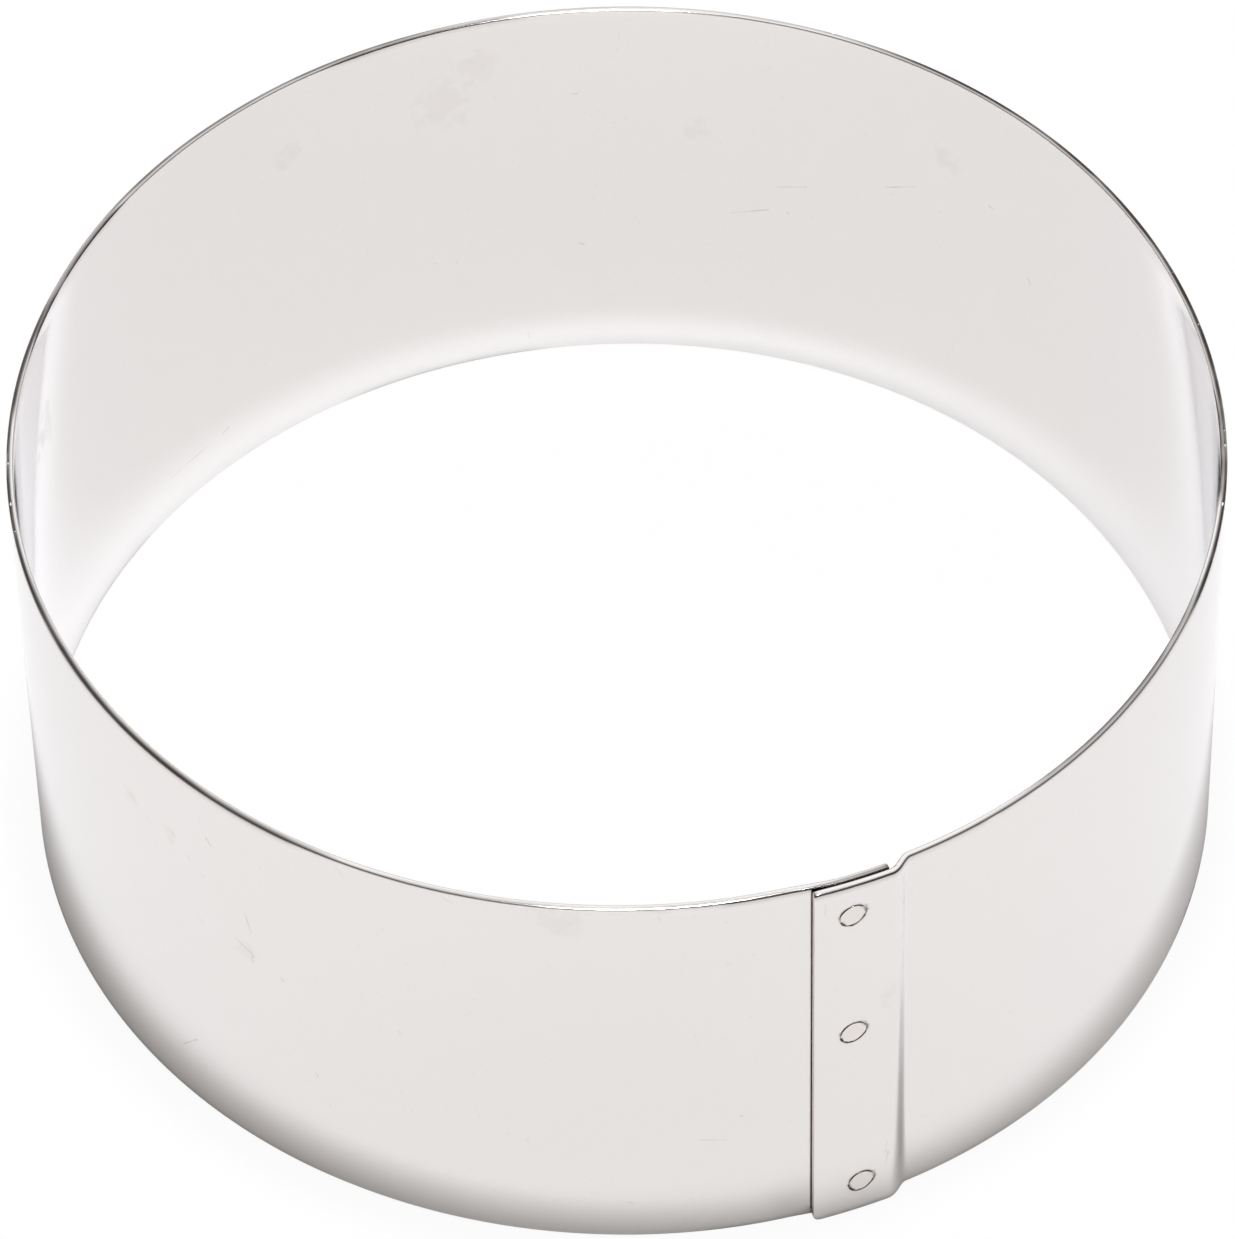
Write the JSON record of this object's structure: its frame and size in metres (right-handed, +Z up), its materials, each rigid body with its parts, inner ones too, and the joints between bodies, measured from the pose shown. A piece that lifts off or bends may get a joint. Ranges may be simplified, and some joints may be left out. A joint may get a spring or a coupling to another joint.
{
  "type": "pastry ring",
  "caption": "Round open pastry ring rolled from one strip of thin stainless steel, its ends joined in a joggled, spot-welded lap.",
  "frame": {"origin": "centre of the bottom rim, on the surface that the ring stands on", "axes": "+Z up along the ring's axis; the lap's outer free edge stands at 286.5 degrees from +X, near -Y"},
  "size_m": [0.1195, 0.1202, 0.05],
  "materials": {
    "steel": "smooth cold-rolled stainless steel, soft gloss",
    "weld": "flat electrode mark pressed into the same stainless steel"
  },
  "bodies": {
    "root": {"band": "steel", "weld_bottom": "weld", "weld_middle": "weld", "weld_top": "weld"}
  },
  "joints": []
}
